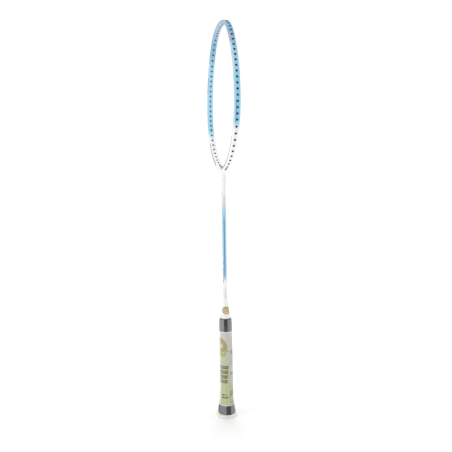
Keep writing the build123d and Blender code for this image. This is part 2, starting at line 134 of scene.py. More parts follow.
class Nodes:
    """A short way to write a material's node graph. point, x, y and z are in metres."""

    def __init__(self, name):
        self.material = bpy.data.materials.new(name)
        self.material.use_nodes = True
        self.tree = self.material.node_tree
        self.shader = self.tree.nodes["Principled BSDF"]
        self.point, self.x, self.y, self.z = self.coordinates("Object")

    def add(self, kind, output, inputs=(), **settings):
        """Adds a node, and returns one of its outputs."""
        node = self.tree.nodes.new(kind)
        for key, value in settings.items():
            setattr(node, key, value)
        for key, value in dict(inputs).items():
            self.join(value, node.inputs[key])
        return Value(self, node.outputs[output])

    def join(self, value, socket):
        if isinstance(value, Value):
            self.tree.links.new(value.socket, socket)
        elif socket.type == "RGBA" and len(value) == 3:
            socket.default_value = (*value, 1.0)
        else:
            socket.default_value = value

    def set(self, **inputs):
        for key, value in inputs.items():
            self.join(value, self.shader.inputs[key.replace("_", " ")])

    def coordinates(self, kind):
        """A texture coordinate, and its x, y and z."""
        vector = self.add("ShaderNodeTexCoord", kind)
        split = self.add("ShaderNodeSeparateXYZ", 0, {0: vector}).socket.node
        return vector, *(Value(self, axis) for axis in split.outputs)

    def attribute(self, name):
        return self.add("ShaderNodeAttribute", "Fac", attribute_name=name)

    def math(self, operation, a, b=0.0):
        return self.add("ShaderNodeMath", 0, {0: a, 1: b}, operation=operation)

    def length(self, a, b):
        return self.math("SQRT", a * a + b * b)

    def ripple(self, angle, count):
        """From 0 to 1, and back, count times in each half turn."""
        return abs(self.math("SINE", angle * count))

    def mix(self, share, a, b):
        return self.add("ShaderNodeMix", 2, {0: share, 6: a, 7: b}, data_type="RGBA")

    def coats(self, colour, *coats):
        """A colour with (share, colour) coats laid over it in turn."""
        for share, coat in coats:
            colour = self.mix(share, colour, coat)
        return colour

    def ramp(self, value, stops):
        """A colour ramp: stops are (place from 0 to 1, colour)."""
        colour = self.add("ShaderNodeValToRGB", 0, {0: value})
        elements = colour.socket.node.color_ramp.elements
        while len(elements) < len(stops):
            elements.new(1.0)
        for element, (place, stop) in zip(elements, stops):
            element.position = place
            element.color = (*stop, 1.0)
        return colour

    def span(self, value, low, high, out_low=0.0, out_high=1.0):
        """value mapped from low..high to out_low..out_high, smoothly and clamped."""
        inputs = {"Value": value, "From Min": low, "From Max": high, "To Min": out_low, "To Max": out_high}
        return self.add("ShaderNodeMapRange", "Result", inputs, interpolation_type="SMOOTHSTEP")

    def band(self, value, low, high, soft):
        """1 where value lies between low and high, falling to 0 over soft."""
        return self.span(value, low - soft, low + soft) * self.span(value, high - soft, high + soft, 1.0, 0.0)

    def stretched(self, share):
        """The point, with what is drawn there 1 / share as long along Z."""
        return self.add("ShaderNodeMapping", 0, {"Vector": self.point, "Scale": (1.0, 1.0, share)})

    def noise(self, scale, detail=3.0, roughness=0.5, stretch=None):
        """Noise from 0 to 1, with scale in features per metre."""
        point = self.stretched(stretch) if stretch else self.point
        inputs = {"Vector": point, "Scale": scale, "Detail": detail, "Roughness": roughness}
        return self.add("ShaderNodeTexNoise", "Fac", inputs)

    def rough(self, cloud, low, high):
        self.set(Roughness=self.span(cloud, 0.3, 0.7, low, high))

    def finish(self, height, distance, strength):
        """Adds fine relief, and returns the material."""
        inputs = {"Height": height, "Distance": distance, "Strength": strength}
        self.set(Normal=self.add("ShaderNodeBump", "Normal", inputs))
        return self.material


LACQUER = {"Roughness": 0.22, "Coat_Weight": 0.6, "Coat_Roughness": 0.06, "IOR": 1.5}
LACQUER_RELIEF = 0.00003, 0.25
WHITE_PAINT = (0.83, 0.84, 0.85)
SKY = (0.32, 0.62, 0.81)
SHAFT_SKY = (0.36, 0.60, 0.76)
SKY_DEEP = (0.08, 0.26, 0.42)
LAVENDER = (0.29, 0.41, 0.60)
SLATE = (0.18, 0.39, 0.55)
RED_INK = (0.62, 0.13, 0.10)
BROWN_INK = (0.22, 0.12, 0.14)
PINK_INK = (0.48, 0.34, 0.52)
PURPLE_INK = (0.20, 0.17, 0.21)
SILVER_INK = (0.62, 0.64, 0.68)
WHOLE = (-1.5, 1.5)
HOOP_MARKS = (
    # ink, strength, and the ranges of "along", "flank" and "out" that the mark fills
    (PINK_INK, 0.75, (0.0775, 0.0905), (0.10, 1.5), (-0.2, 1.5)),
    (BROWN_INK, 0.80, (0.0765, 0.0815), (-0.95, -0.50), (0.0, 1.5)),
    (RED_INK, 0.85, (0.0865, 0.0925), (-0.95, -0.50), (0.0, 1.5)),
    (SILVER_INK, 0.80, (0.0965, 0.1500), (0.72, 1.5), (-0.2, 1.5)),
    (PURPLE_INK, 0.80, (0.1010, 0.1080), (0.90, 1.5), (-1.5, -0.1)),
    (PINK_INK, 0.60, (0.1130, 0.1210), (0.80, 1.5), (-0.2, 1.5)),
    (PURPLE_INK, 0.60, (0.1050, 0.1170), (-1.5, -0.72), (-0.2, 1.5)),
    (SKY_DEEP, 0.90, (0.1910, 0.2255), (0.24, 0.58), (0.2, 1.5)),
    (PURPLE_INK, 0.85, (0.2450, 0.2825), (0.80, 1.5), (-1.5, 0.35)),
    (RED_INK, 0.95, (0.2825, 0.3400), (0.66, 1.5), (-0.9, 0.5)),
    (SKY_DEEP, 0.60, (0.0730, 0.0970), (-1.5, -0.90), WHOLE),
    (WHITE_PAINT, 0.50, (0.0970, 0.1010), (-1.5, -0.80), WHOLE),
    (PURPLE_INK, 0.80, (0.1240, 0.1510), (-1.5, -0.86), WHOLE),
    (PURPLE_INK, 0.95, (0.2470, 0.3110), (-1.5, -0.92), WHOLE),
)


def hoop_paint():
    """Lacquer that goes from sky blue at the head's top to white at the throat, with stripes and accents.

    The mesh's attributes say where a point lies on the rail. "along" is the distance from the top
    centre in metres. "flank" goes from -1 to 1 across the rail, and is 1 on the front of the +X half and
    on the back of the other. "out" is -1 on the inner side and 1 on the outer side.
    """
    n = Nodes("hoop_paint")
    along, flank, out = (n.attribute(name) for name in ("along", "flank", "out"))
    blue = n.coats(
        n.mix(n.span(n.z, 0.602, 0.640), SKY, SLATE),
        (n.span(n.z, 0.640, 0.667) * n.span(n.x, 0.015, -0.010, 0.25, 1.0), LAVENDER),
        (n.noise(300.0, 2.0) * 0.10, SKY_DEEP),
    )
    fade_height = n.z + (n.noise(55.0, 2.0) - 0.5) * 0.006
    paint = n.mix(n.span(fade_height, 0.482, 0.502), WHITE_PAINT, blue)
    for ink, strength, stretch, width, depth in HOOP_MARKS:
        mark = n.band(along, *stretch, 0.0012) * n.band(flank, *width, 0.04) * n.band(out, *depth, 0.08)
        paint = n.mix(mark * strength, paint, ink)
    n.set(Base_Color=paint, **LACQUER)
    return n.finish(n.noise(900.0, 2.0), *LACQUER_RELIEF)


def shaft_paint():
    """White at both ends and sky blue between, with a fine line along it and small worn marks."""
    n = Nodes("shaft_paint")
    blue = n.mix(n.noise(200.0, 2.0) * 0.12, SHAFT_SKY, SKY_DEEP)
    blue = n.mix(n.span(n.z, 0.352, 0.372), blue, (0.62, 0.68, 0.74))
    line = n.span(abs(n.y + n.x * 0.22), 0.0012, 0.0006) * n.band(n.z, 0.240, 0.345, 0.006)
    sides = n.span(abs(n.y), 0.0022, 0.0029)
    worn = sides * n.span(n.noise(420.0, 1.0, stretch=0.35), 0.50, 0.56)
    paint = n.coats(
        WHITE_PAINT,
        (n.span(n.z, 0.376, 0.388, 1.0, 0.0) * n.span(n.z, 0.234, 0.252), blue),
        (line * 0.9, (0.05, 0.21, 0.35)),
        (worn * n.band(n.z, 0.226, 0.284, 0.003) * 0.8, (0.14, 0.19, 0.26)),
        (n.band(n.z, 0.204, 0.224, 0.003) * 0.5, (0.62, 0.62, 0.61)),
        (sides * n.band(n.z, 0.382, 0.390, 0.001) * 0.35, RED_INK),
    )
    n.set(Base_Color=paint, Roughness=0.25, IOR=1.5, Specular_IOR_Level=0.3)
    n.set(Coat_Weight=0.15, Coat_Roughness=0.06)
    return n.finish(n.noise(900.0, 2.0), *LACQUER_RELIEF)


def grommet_plastic():
    """Dark plastic with a faint mottle."""
    n = Nodes("grommet_plastic")
    n.set(Base_Color=n.mix(n.noise(900.0, 2.0), (0.010, 0.030, 0.046), (0.026, 0.054, 0.076)))
    n.set(IOR=1.5, Specular_IOR_Level=0.35)
    n.rough(n.noise(1800.0, 2.0), 0.40, 0.55)
    return n.finish(n.noise(3500.0, 2.0), 0.00003, 0.3)


def slant_share(n):
    """1 on the handle's slanted sides and 0 on its flats, from which way the surface faces: the mask for the
    painted sheen that stands for the side lamps' reflection on the slants.

    The wrap's top turn, above the film, leans round a little, and its painted sheen leaves it dark over less
    of each flat.
    """
    _, across, ahead, _ = n.coordinates("Normal")
    below = n.span(n.ripple(n.math("ARCTAN2", ahead, across), 2.0), 0.45, 0.70)
    leaned = n.math("ARCTAN2", n.y, n.x) + radians(11.5)
    above = n.span(n.ripple(leaned, 2.0), 0.43, 0.58)
    top_turn = n.span(n.z, 0.146, 0.150)
    return below * (1.0 - top_turn) + above * top_turn


def black_with_painted_sheen(n, mottle, black, greys):
    """Mottled black, and on the handle's slants streaky greys as a painted sheen, standing for the side
    lamps' reflection.
    """
    black = n.mix(mottle, (0.014, 0.013, 0.014), black)
    painted_sheen = n.mix(n.noise(600.0, stretch=0.3), *((grey, grey, grey) for grey in greys))
    # painted sheen: the slants are lightened to grey in place of the side lamps' reflection
    return n.mix(slant_share(n), black, painted_sheen)


def grip_polyurethane():
    """Smooth black polyurethane with fine leather-like grain, and a painted sheen of greys on the handle's
    slants.
    """
    n = Nodes("grip_polyurethane")
    # the greys are the painted sheen on the handle's slants
    n.set(Base_Color=black_with_painted_sheen(n, n.noise(260.0, 4.0), (0.030, 0.028, 0.030), (0.12, 0.24)))
    n.set(IOR=1.5, Specular_IOR_Level=0.7)
    n.rough(n.noise(500.0), 0.32, 0.44)
    grain = n.add("ShaderNodeTexVoronoi", 0, {"Vector": n.point, "Scale": 1700.0}, feature="SMOOTH_F1")
    return n.finish(grain + n.noise(400.0, 2.0), 0.00006, 0.35)


def tape_vinyl():
    """Black vinyl with a painted sheen of greys on the handle's slants, and a brown edge at its top."""
    n = Nodes("tape_vinyl")
    # the greys are the painted sheen on the handle's slants
    vinyl = black_with_painted_sheen(n, n.noise(300.0, 2.0), (0.028, 0.026, 0.028), (0.13, 0.26))
    top_edge = n.span(n.z, GRIP_TOP - 0.0016, GRIP_TOP - 0.0008)
    n.set(Base_Color=n.mix(top_edge, vinyl, (0.10, 0.075, 0.06)), IOR=1.5)
    n.rough(n.noise(500.0), 0.22, 0.34)
    threads = {"Vector": n.point, "Scale": 600.0, "Distortion": 1.0}
    return n.finish(n.add("ShaderNodeTexWave", "Fac", threads, bands_direction="Z"), 0.00002, 0.2)


def metal(name, colour, roughness):
    """Plain metal, drawn or machined along Z."""
    n = Nodes(name)
    lines = n.noise(3500.0, stretch=0.04)
    n.set(Base_Color=n.mix(lines, colour, tuple(channel * 0.82 for channel in colour)), Metallic=1.0)
    n.rough(lines, roughness, roughness + 0.15)
    return n.finish(lines, 0.00003, 0.3)


def core_wood():
    """Pale wood with its grain along the handle."""
    n = Nodes("core_wood")
    wave = {"Vector": n.stretched(0.06), "Scale": 90.0, "Distortion": 5.0, "Detail": 3.0, "Detail Scale": 2.0}
    rings = n.add("ShaderNodeTexWave", "Fac", wave, bands_direction="X")
    fibre = n.noise(2200.0, 4.0, stretch=0.02)
    wood = n.ramp(rings, ((0.0, (0.46, 0.29, 0.15)), (0.55, (0.62, 0.43, 0.25)), (1.0, (0.70, 0.52, 0.33))))
    n.set(Base_Color=n.mix(fibre * 0.35, wood, (0.36, 0.21, 0.10)))
    n.rough(fibre, 0.55, 0.72)
    return n.finish(fibre, 0.00006, 0.5)


def badge_gold(name):
    """A gold shield with a yellow lower field, under clear resin. "rim" is 1 at its outline."""
    n = Nodes(name)
    rim, height = n.attribute("rim"), n.attribute("height")
    sheen = n.noise(900.0, 2.0, stretch=0.3)
    field = n.coats(
        n.mix(sheen, (0.50, 0.33, 0.13), (0.60, 0.46, 0.26)),
        (n.span(height, -0.50, -0.44, 1.0, 0.0), n.mix(sheen, (0.60, 0.55, 0.12), (0.72, 0.69, 0.29))),
        (n.band(height, -0.47, -0.40, 0.02), (0.50, 0.36, 0.08)),
        (n.band(height, -0.06, 0.02, 0.03), (0.72, 0.58, 0.38)),
        (n.span(rim, 0.76, 0.86), (0.24, 0.15, 0.06)),
    )
    n.set(Base_Color=field, Roughness=0.30, Metallic=0.25, Coat_Weight=0.8, Coat_Roughness=0.05)
    return n.finish(sheen, 0.00003, 0.3)


def badge_silver():
    """Brushed foil with a blue ring."""
    n = Nodes("butt_badge_foil")
    sheen = n.noise(700.0)
    foil = n.mix(sheen, (0.62, 0.64, 0.67), (0.74, 0.75, 0.77))
    ring = n.band(n.length(n.x, n.y), 0.0058, 0.0066, 0.0002)
    n.set(Base_Color=n.mix(ring, foil, SKY), Roughness=0.28, Metallic=0.6)
    n.set(Coat_Weight=0.8, Coat_Roughness=0.05)
    return n.finish(sheen, 0.00002, 0.3)


def throat_paint():
    """White lacquer that runs on from the hoop."""
    n = Nodes("throat_paint")
    n.set(Base_Color=n.mix(n.noise(180.0), WHITE_PAINT, (0.82, 0.83, 0.84)), **LACQUER)
    return n.finish(n.noise(900.0, 2.0), *LACQUER_RELIEF)


def cone_plastic():
    """Glossy white plastic with two small printed dashes on its front and its back."""
    n = Nodes("cone_plastic")
    sides = n.span(abs(n.y), 0.0060, 0.0066) * n.band(n.x, -0.0030, 0.0030, 0.0003)
    dashes = n.band(n.z, 0.1862, 0.1905, 0.0004) | n.band(n.z, 0.1745, 0.1768, 0.0004)
    ink = sides * dashes * n.span(n.noise(700.0, 1.0), 0.40, 0.48)
    white = n.mix(n.noise(120.0), (0.84, 0.84, 0.83), (0.80, 0.80, 0.79))
    n.set(Base_Color=n.mix(ink * 0.7, white, PURPLE_INK), IOR=1.5, Specular_IOR_Level=0.3)
    n.rough(n.noise(400.0), 0.24, 0.34)
    return n.finish(n.noise(1500.0, 2.0), 0.00004, 0.2)


def butt_plastic():
    """Cream-white moulded plastic, a little uneven in its gloss."""
    n = Nodes("butt_plastic")
    n.set(Base_Color=n.mix(n.noise(90.0), (0.84, 0.81, 0.745), (0.80, 0.77, 0.70)), IOR=1.48)
    n.rough(n.noise(350.0, 4.0), 0.32, 0.48)
    return n.finish(n.noise(1300.0), 0.00005, 0.25)


FILM_PALE = (0.46, 0.485, 0.44)
FILM_GREEN = (0.42, 0.45, 0.262)
FILM_PANEL = (0.52, 0.55, 0.50)
RULES = (
    # bottom, start and end round the handle, and colour
    (0.0382, -0.0120, -0.0016, (0.12, 0.15, 0.06)),
    (0.0336, -0.0120, 0.0020, (0.07, 0.10, 0.03)),
)
PICTURE_BANDS = (
    # bottom and top height in mm, and colour, of each band in the picture strip
    (20.5, 23.4, (0.03, 0.035, 0.035)),
    (23.4, 25.4, (0.58, 0.60, 0.58)),
    (25.4, 27.4, (0.03, 0.035, 0.035)),
    (27.4, 36.5, (0.40, 0.33, 0.09)),
    (36.5, 47.0, (0.11, 0.145, 0.18)),
    (47.0, 55.0, (0.48, 0.33, 0.10)),
    (55.0, 74.0, (0.36, 0.38, 0.36)),
    (74.0, 79.0, (0.10, 0.12, 0.12)),
    (79.0, 89.5, (0.42, 0.44, 0.43)),
    (89.5, 103.0, (0.27, 0.29, 0.30)),
    (103.0, 110.0, (0.48, 0.33, 0.10)),
    (110.0, 118.0, (0.09, 0.12, 0.16)),
    (118.0, 141.0, (0.38, 0.36, 0.24)),
)


def rosette(n, around):
    """(share, colour) of a scalloped gold ring round a pale oval, with leaves at its lower right."""
    across, up = around + 0.0170, n.z - 0.1235
    reach = n.length(across, up)
    angle = n.math("ARCTAN2", up, across)
    petal = n.ripple(angle, 11.0)
    leaves = n.band(angle, radians(-78.0), radians(-18.0), 0.12)
    edge = petal * 0.0012 + 0.0153 + leaves * (n.ripple(angle, 5.0) * 0.0034)
    depth = edge - reach
    mottle = n.noise(380.0, 3.0, 0.6)
    leafy = n.span(up, -0.0045, -0.0085) * n.span(across, -0.002, 0.003)
    leaf = n.mix(n.span(mottle, 0.42, 0.58), (0.24, 0.24, 0.06), (0.50, 0.48, 0.14))
    oval_across, oval_up = (around + 0.0143) / 0.0059, (n.z - 0.1252) / 0.0044
    oval = oval_across * oval_across + oval_up * oval_up
    colour = n.coats(
        n.mix(n.span(mottle, 0.35, 0.65), (0.28, 0.22, 0.07), (0.40, 0.32, 0.11)),
        (n.band(reach, 0.0105, 0.0112, 0.0003) * 0.6, (0.22, 0.17, 0.07)),
        (n.span(across, -0.003, -0.010), (0.43, 0.38, 0.23)),
        (leafy | leaves * n.span(reach, 0.0120, 0.0135), leaf),
        (n.span(depth, 0.0020, 0.0010) * n.span(petal, 0.25, 0.60) * 0.8, (0.19, 0.17, 0.08)),
        (n.span(oval, 1.15, 0.75), n.mix(n.noise(200.0), (0.42, 0.42, 0.43), (0.54, 0.54, 0.54))),
    )
    return n.span(depth, -0.0002, 0.0002), colour


def tile_rows(n, around):
    """(share, colour) of four rows of upright tiles in outline, paler round the corner on the slant."""
    tile = n.math("FRACT", around * (1 / 0.0044))
    row = n.math("FRACT", (n.z - 0.0594) * (1 / 0.00817))
    rows = n.band(n.z, 0.0596, 0.0916, 0.0002) * n.band(row, 0.12, 0.84, 0.04)
    row_end = n.z * 0.07 - 0.0047
    tiles = rows * n.span(row_end - around, 0.0, 0.0004) * n.span(around, -0.0215, -0.0205)
    frames = n.span(abs(tile - 0.5), 0.30, 0.40) | (n.span(row, 0.30, 0.22) | n.span(row, 0.68, 0.76))
    frames = frames | n.span(n.noise(900.0, 2.0), 0.48, 0.56) * 0.8
    on_flat = n.span(around, -0.0080, -0.0060)
    fill = n.mix(on_flat, (0.29, 0.27, 0.19), (0.31, 0.27, 0.12))
    outline = n.mix(on_flat, (0.18, 0.165, 0.10), (0.09, 0.08, 0.03))
    return tiles, n.mix(frames, fill, outline)


def dark_rules(n, around):
    """(share, colour) of two short dark rules under the tiles."""
    gaps = n.span(n.noise(1100.0, 1.0, stretch=0.2), 0.36, 0.44)
    for low, start, end, ink in RULES:
        yield n.band(n.z, low, low + 0.0026, 0.0003) * n.band(around, start, end, 0.0004) * gaps, ink


def picture_strip(n, around):
    """(share, colour) of the strip past the edge between the +X flat and the next one."""
    ragged = n.z + (n.noise(240.0, 2.0) - 0.5) * 0.005
    bands = ((n.band(ragged, low * MM, high * MM, 0.0006), colour) for low, high, colour in PICTURE_BANDS)
    picture = n.coats(FILM_PANEL, *bands, (n.noise(320.0, 4.0) * 0.40, (0.60, 0.62, 0.60)))
    past_border = around - (n.z * 0.0191 + 0.0023)
    return n.band(past_border, 0.0, 0.0250, 0.0003) * n.band(n.z, 0.0205, 0.141, 0.0004), picture


def printed_film():
    """Glossy film printed with a made-up design: a gold rosette, rows of tiles and a picture strip.

    The mesh's "around" attribute is the distance round the handle from the middle of its +X flat, in
    metres: + towards +Y and - towards -Y. The print has the rosette and the tiles on the front, the
    picture strip on the back, and holds no lettering.
    """
    n = Nodes("printed_film")
    around, z = n.attribute("around"), n.z
    greens = ((0.0, FILM_GREEN), (0.30, FILM_GREEN), (0.62, (0.435, 0.468, 0.295)), (0.85, FILM_PALE))
    # painted highlight: a pale patch on the -Y slant, low on the film, standing for the film's glare
    painted_glare = n.span(around, -0.0140, -0.0160) * n.band(z, 0.0435, 0.0580, 0.004)
    low_end = n.span(z, FILM_BOTTOM + 0.0016, FILM_BOTTOM + 0.0010)
    clear_ends = low_end | n.span(z, FILM_TOP - 0.0020, FILM_TOP - 0.0014)
    print_colour = n.coats(
        n.ramp(n.span(z, FILM_BOTTOM, FILM_TOP), greens),
        (n.span(around, -0.016, 0.004) * n.band(z, 0.026, 0.075, 0.016), (0.42, 0.50, 0.19)),
        (n.noise(150.0) * 0.16, (0.62, 0.64, 0.55)),
        (n.span(around, 0.000, 0.005) * n.span(z, 0.105, 0.125), (0.50, 0.485, 0.40)),
        (painted_glare * 0.7, (0.74, 0.76, 0.74)),
        rosette(n, around),
        tile_rows(n, around),
        *dark_rules(n, around),
        picture_strip(n, around),
        (clear_ends * 0.8, (0.66, 0.70, 0.62)),
    )
    n.set(Base_Color=print_colour, Roughness=0.30, IOR=1.5, Coat_Weight=0.8, Coat_Roughness=0.08)
    return n.finish(n.noise(260.0, stretch=0.25), 0.0002, 0.25)


def clear_film():
    """The lapped edge of the film: clear, glossy and slightly milky."""
    n = Nodes("clear_film")
    haze = n.noise(300.0, stretch=0.2)
    n.set(Base_Color=n.mix(haze, (0.62, 0.66, 0.60), (0.74, 0.77, 0.72)), Roughness=0.16, IOR=1.5)
    n.set(Transmission_Weight=0.35, Coat_Weight=0.6, Coat_Roughness=0.05)
    return n.finish(haze, 0.00015, 0.3)


# ---- mesh helpers
def placed(name, data):
    """A new object in the scene."""
    thing = bpy.data.objects.new(name, data)
    bpy.context.scene.collection.objects.link(thing)
    return thing


def new_piece(name, shape, material, slot, *nodes, attributes=None, sharp=40.0):
    """A smooth-shaded mesh that stands for CAD nodes. attributes hold one number for each point."""
    points, faces = shape
    mesh = bpy.data.meshes.new(name)
    mesh.from_pydata([tuple(point) for point in points], [], faces)
    for key, values in (attributes or {}).items():
        mesh.attributes.new(key, "FLOAT", "POINT").data.foreach_set("value", values)
    solid = bmesh.new()
    solid.from_mesh(mesh)
    bmesh.ops.recalc_face_normals(solid, faces=solid.faces)
    solid.to_mesh(mesh)
    solid.free()
    mesh.materials.append(material)
    mesh.polygons.foreach_set("use_smooth", [True] * len(mesh.polygons))
    mesh.set_sharp_from_angle(angle=radians(sharp))
    mesh.update()
    piece = placed(name, mesh)
    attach(piece, "root")
    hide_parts(*nodes)


def between_loops(first, second):
    """The faces between two closed loops of point indices."""
    following = zip(first[1:] + first[:1], second[1:] + second[:1])
    return [(a, c, d, b) for a, b, (c, d) in zip(first, second, following)]


def loft(rings, closed=False):
    """Points and faces of a solid through rings: capped, or closed where the last meets the first."""
    count = len(rings[0])
    points = [point for ring in rings for point in ring]
    loops = [list(range(start, start + count)) for start in range(0, len(points), count)]
    faces = [] if closed else [tuple(loops[0][::-1]), tuple(loops[-1])]
    for loop, following in zip(loops, loops[1:] + loops[:1] if closed else loops[1:]):
        faces += between_loops(loop, following)
    return points, faces


def turned(profile, steps=48, origin=Vector(), x_axis=Vector((1, 0, 0)), z_axis=Vector((0, 0, 1))):
    """Rings of a (radius, height) profile turned about an axis."""
    y_axis = z_axis.cross(x_axis)
    rings = []
    for radius, height in profile:
        centre = origin + z_axis * height
        angles = [2 * pi * i / steps for i in range(steps)]
        rings.append([centre + (x_axis * cos(a) + y_axis * sin(a)) * radius for a in angles])
    return rings


def arc_points(centre, radius, start, end, steps):
    """Points (a, b) along an arc between two angles in degrees."""
    angles = [radians(start + (end - start) * i / steps) for i in range(steps + 1)]
    return [(centre[0] + radius * cos(a), centre[1] + radius * sin(a)) for a in angles]


# ---- the hoop's middle line
TOP_RADIUS = (
    SIDE_RADIUS * sin(TOP_TURN)
    - CROWN_RADIUS * sin(CROWN_TURN)
    - (SIDE_RADIUS - LOWER_RADIUS) * sin(SIDE_TURN)
    - (LOWER_RADIUS - THROAT_RADIUS) * sin(LOWER_TURN)
) / (sin(TOP_TURN) - sin(CROWN_TURN))
HOOP_RADII = [CROWN_RADIUS, TOP_RADIUS, SIDE_RADIUS, LOWER_RADIUS, THROAT_RADIUS]
HOOP_TURNS = [0.0, CROWN_TURN, TOP_TURN, SIDE_TURN, LOWER_TURN, pi]
ARC_LENGTHS = [r * (b - a) for r, a, b in zip(HOOP_RADII, HOOP_TURNS, HOOP_TURNS[1:])]
HALF_LENGTH = sum(ARC_LENGTHS)


def rail_frame(along):
    """(point, outward direction, direction of travel, radius) of the hoop's middle line.

    along runs from the top centre down the +X half, and on up the other half.
    """
    side = 1 if along <= HALF_LENGTH else -1
    distance = along if side > 0 else 2 * HALF_LENGTH - along
    centre_x, centre_z = 0.0, HOOP_TOP - RAIL_THICK / 2 - CROWN_RADIUS
    for i, radius in enumerate(HOOP_RADII):
        if i:
            change = HOOP_RADII[i - 1] - radius
            centre_x += change * sin(HOOP_TURNS[i])
            centre_z += change * cos(HOOP_TURNS[i])
        if distance <= ARC_LENGTHS[i] or i == len(HOOP_RADII) - 1:
            break
        distance -= ARC_LENGTHS[i]
    turn = HOOP_TURNS[i] + distance / radius
    out = Vector((side * sin(turn), 0, cos(turn)))
    travel = Vector((cos(turn), 0, -side * sin(turn)))
    return Vector((side * centre_x, 0, centre_z)) + out * radius, out, travel, radius


def rail_point(along, out, across):
    """A point on the rail, from its distances out of the hoop and along Y from the middle line."""
    middle, outward, _, _ = rail_frame(along)
    return middle + outward * out + Vector((0, across, 0))


GROMMET_PLACES = [FIRST_GROMMET]
for count, step in GROMMET_STEPS:
    for _ in range(count):
        GROMMET_PLACES.append(GROMMET_PLACES[-1] + step * MM)
OTHER_HALF = [2 * HALF_LENGTH - place for place in GROMMET_PLACES]


# ---- hoop
FLOOR_HALF = 2.0 * MM
INNER_HALF = 2.2 * MM
BAND_STEPS = 4  # each hole sits in a patch of this many by this many faces
PATCH_HALF = 2.2 * MM
HOLE_RADIUS = 1.55 * MM
LONGEST_FACE = 3.0 * MM


def half_section():
    """The rail's outline (out, across) from the groove's floor round the back to the inner side."""
    outer = RAIL_THICK / 2
    floor = outer - GROOVE_DEEP
    fillet = GROOVE_HALF - FLOOR_HALF
    centre = outer - RAIL_CORNER, HALF_DEEP - RAIL_CORNER
    points = [(floor, FLOOR_HALF)]
    points += arc_points((floor + fillet, FLOOR_HALF), fillet, 180, 90, 3)[1:]
    lip = arc_points(centre, RAIL_CORNER, 10, 90, 9)
    wall_top = (outer - 0.40 * MM, GROOVE_HALF)
    points += [wall_top, (outer - 0.16 * MM, GROOVE_HALF + 0.05 * MM)]
    points.append((outer - 0.04 * MM, GROOVE_HALF + 0.22 * MM))
    points += lip
    points += arc_points((-centre[0], centre[1]), RAIL_CORNER, 90, 180, 9)
    points.append((-outer, INNER_HALF))
    return points


def rail_section():
    """(points, floor start, inner start): the closed outline, and where its two flat bands start."""
    back = half_section()
    front = [(out, -across) for out, across in reversed(back)]
    inner_start = len(back) - 1
    inner = [(-RAIL_THICK / 2, INNER_HALF * (1 - 2 * i / BAND_STEPS)) for i in range(1, BAND_STEPS)]
    floor_start = len(back) + len(inner) + len(front) - 1
    floor_out = RAIL_THICK / 2 - GROOVE_DEEP
    floor = [(floor_out, -FLOOR_HALF * (1 - 2 * i / BAND_STEPS)) for i in range(1, BAND_STEPS)]
    return back + inner + front + floor, floor_start, inner_start


def build_hoop():
    """One closed mesh, with a round hole through the rail at each grommet."""
    section, floor_start, inner_start = rail_section()
    count = len(section)
    whole = 2 * HALF_LENGTH
    places = sorted(GROMMET_PLACES + OTHER_HALF)
    rows, patches = [], []
    for place, following in zip(places, places[1:] + [places[0] + whole]):
        patches.append(len(rows))
        rows += [place - PATCH_HALF + 2 * PATCH_HALF * k / BAND_STEPS for k in range(BAND_STEPS + 1)]
        gap = following - place - 2 * PATCH_HALF
        pieces = max(1, round(gap / LONGEST_FACE))
        rows += [place + PATCH_HALF + gap * k / pieces for k in range(1, pieces)]
    spots = [(row % whole, out, across) for row in rows for out, across in section]
    points = [rail_point(*spot) for spot in spots]
    holed = {patch + k for patch in patches for k in range(BAND_STEPS)}
    flat = {(start + k) % count for start in (floor_start, inner_start) for k in range(BAND_STEPS)}
    faces = []
    for i in range(len(rows)):
        here, there = i * count, (i + 1) % len(rows) * count
        for j in range(count):
            if i not in holed or j not in flat:
                following = (j + 1) % count
                faces.append((here + j, there + j, there + following, here + following))
    for patch, place in zip(patches, places):
        circles = []
        for start, mirrored in ((floor_start, False), (inner_start, True)):
            border = patch_border(patch, start, count, mirrored)
            circles.append(hole_circle(place, border, points, spots))
            faces += between_loops(border, circles[-1])
        faces += between_loops(*circles)
    values = zip(*(rail_attributes(*spot) for spot in spots))
    attributes = dict(zip(("along", "flank", "out"), values))
    shape = points, faces
    new_piece("hoop", shape, hoop_paint(), "hoop_paint", "head_frame", attributes=attributes, sharp=50.0)


def patch_border(patch, start, count, mirrored):
    """The indices round a patch of the rail's grid. Mirrored ones run level with the other side's."""
    steps = range(BAND_STEPS)
    grid = [(0, k) for k in steps] + [(k, BAND_STEPS) for k in steps]
    grid += [(BAND_STEPS, BAND_STEPS - k) for k in steps] + [(BAND_STEPS - k, 0) for k in steps]
    if mirrored:
        grid = [(row, BAND_STEPS - column) for row, column in grid]
    return [(patch + row) * count + (start + column) % count for row, column in grid]


def hole_circle(place, border, points, spots):
    """Adds the hole's circle inside a patch's border, point for point, and returns its indices."""
    middle, out, travel, radius = rail_frame(place)
    first = len(points)
    for index in border:
        offset = points[index] - middle
        rise = offset.dot(out)
        ring = Vector((offset.dot(travel), offset.y)).normalized() * HOLE_RADIUS
        points.append(middle + out * rise + travel * ring.x + Vector((0, ring.y, 0)))
        spots.append((place + radius * atan2(ring.x, radius + rise), rise, ring.y))
    return list(range(first, len(points)))


def rail_attributes(along, out, across):
    """The "along", "flank" and "out" of a point on the rail, as its paint reads them."""
    half = 1 if along <= HALF_LENGTH else -1
    return min(along, 2 * HALF_LENGTH - along), -half * across / (HALF_DEEP), out / (RAIL_THICK / 2)


